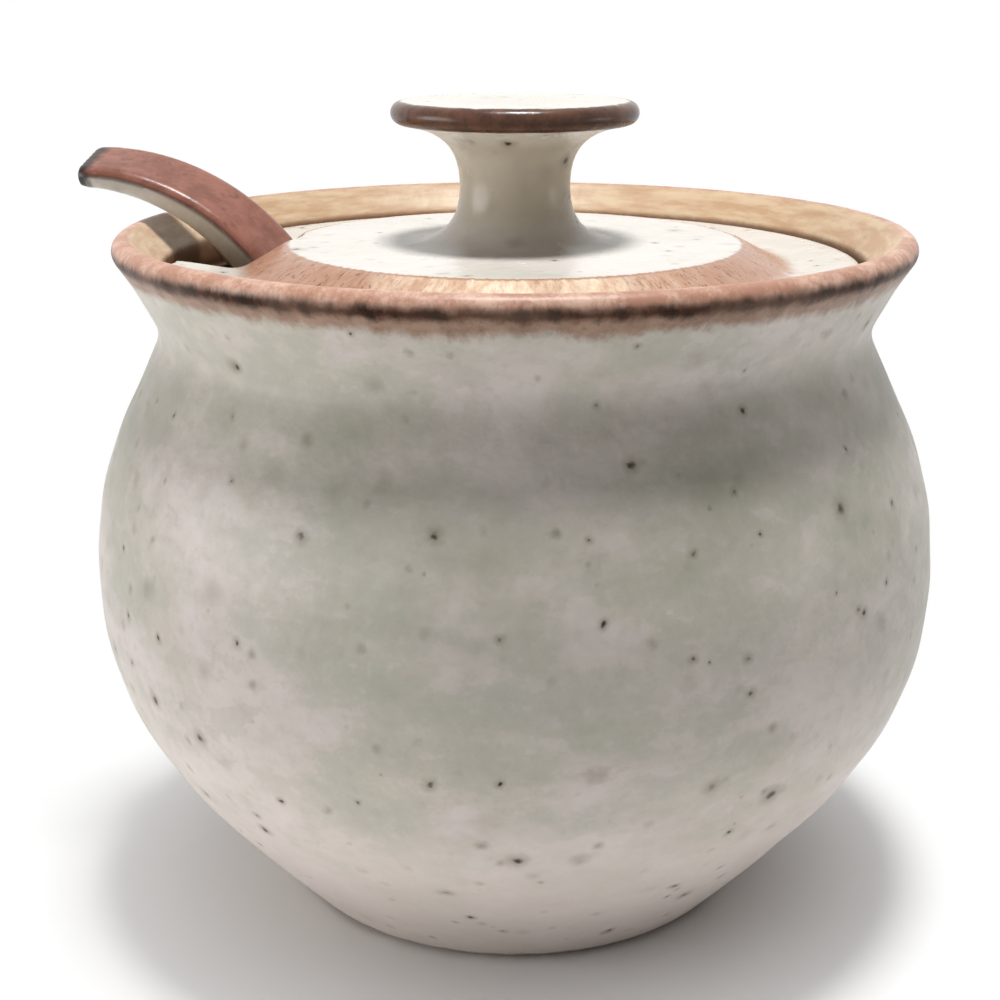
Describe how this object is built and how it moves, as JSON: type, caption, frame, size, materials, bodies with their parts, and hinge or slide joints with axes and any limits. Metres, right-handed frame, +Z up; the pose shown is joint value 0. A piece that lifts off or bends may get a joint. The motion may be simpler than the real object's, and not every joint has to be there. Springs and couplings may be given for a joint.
{
  "type": "honey pot",
  "caption": "Round stoneware honey pot with a flared rim, a drop-in lid with a disc knob, and a curved spoon standing in the lid's notch.",
  "frame": {"origin": "centre of the pot's foot, on the table", "axes": "+Z up along the pot's axis, -Y towards the viewer of the picture, +X to the viewer's right; the spoon's handle points to -X, turned 9 degrees towards +Y"},
  "size_m": [0.1172, 0.115, 0.1087],
  "materials": {
    "pot_glaze": "satin speckled glaze that breaks brown at the rim",
    "lid_glaze": "satin speckled glaze that breaks brown at the edges",
    "spoon_glaze": "satin brown glaze, pale on the sides"
  },
  "bodies": {
    "pot": {"pot": "pot_glaze"},
    "spoon": {"spoon": "spoon_glaze"},
    "lid": {"lid": "lid_glaze"}
  },
  "joints": [
    {"name": "spoon_lift", "type": "slide", "parent": "pot", "child": "spoon", "axis": [0, 0, 1], "range_m": [0, 0.095]},
    {"name": "lid_lift", "type": "slide", "parent": "spoon", "child": "lid", "axis": [0, 0, 1], "range_m": [0, 0.05]}
  ]
}
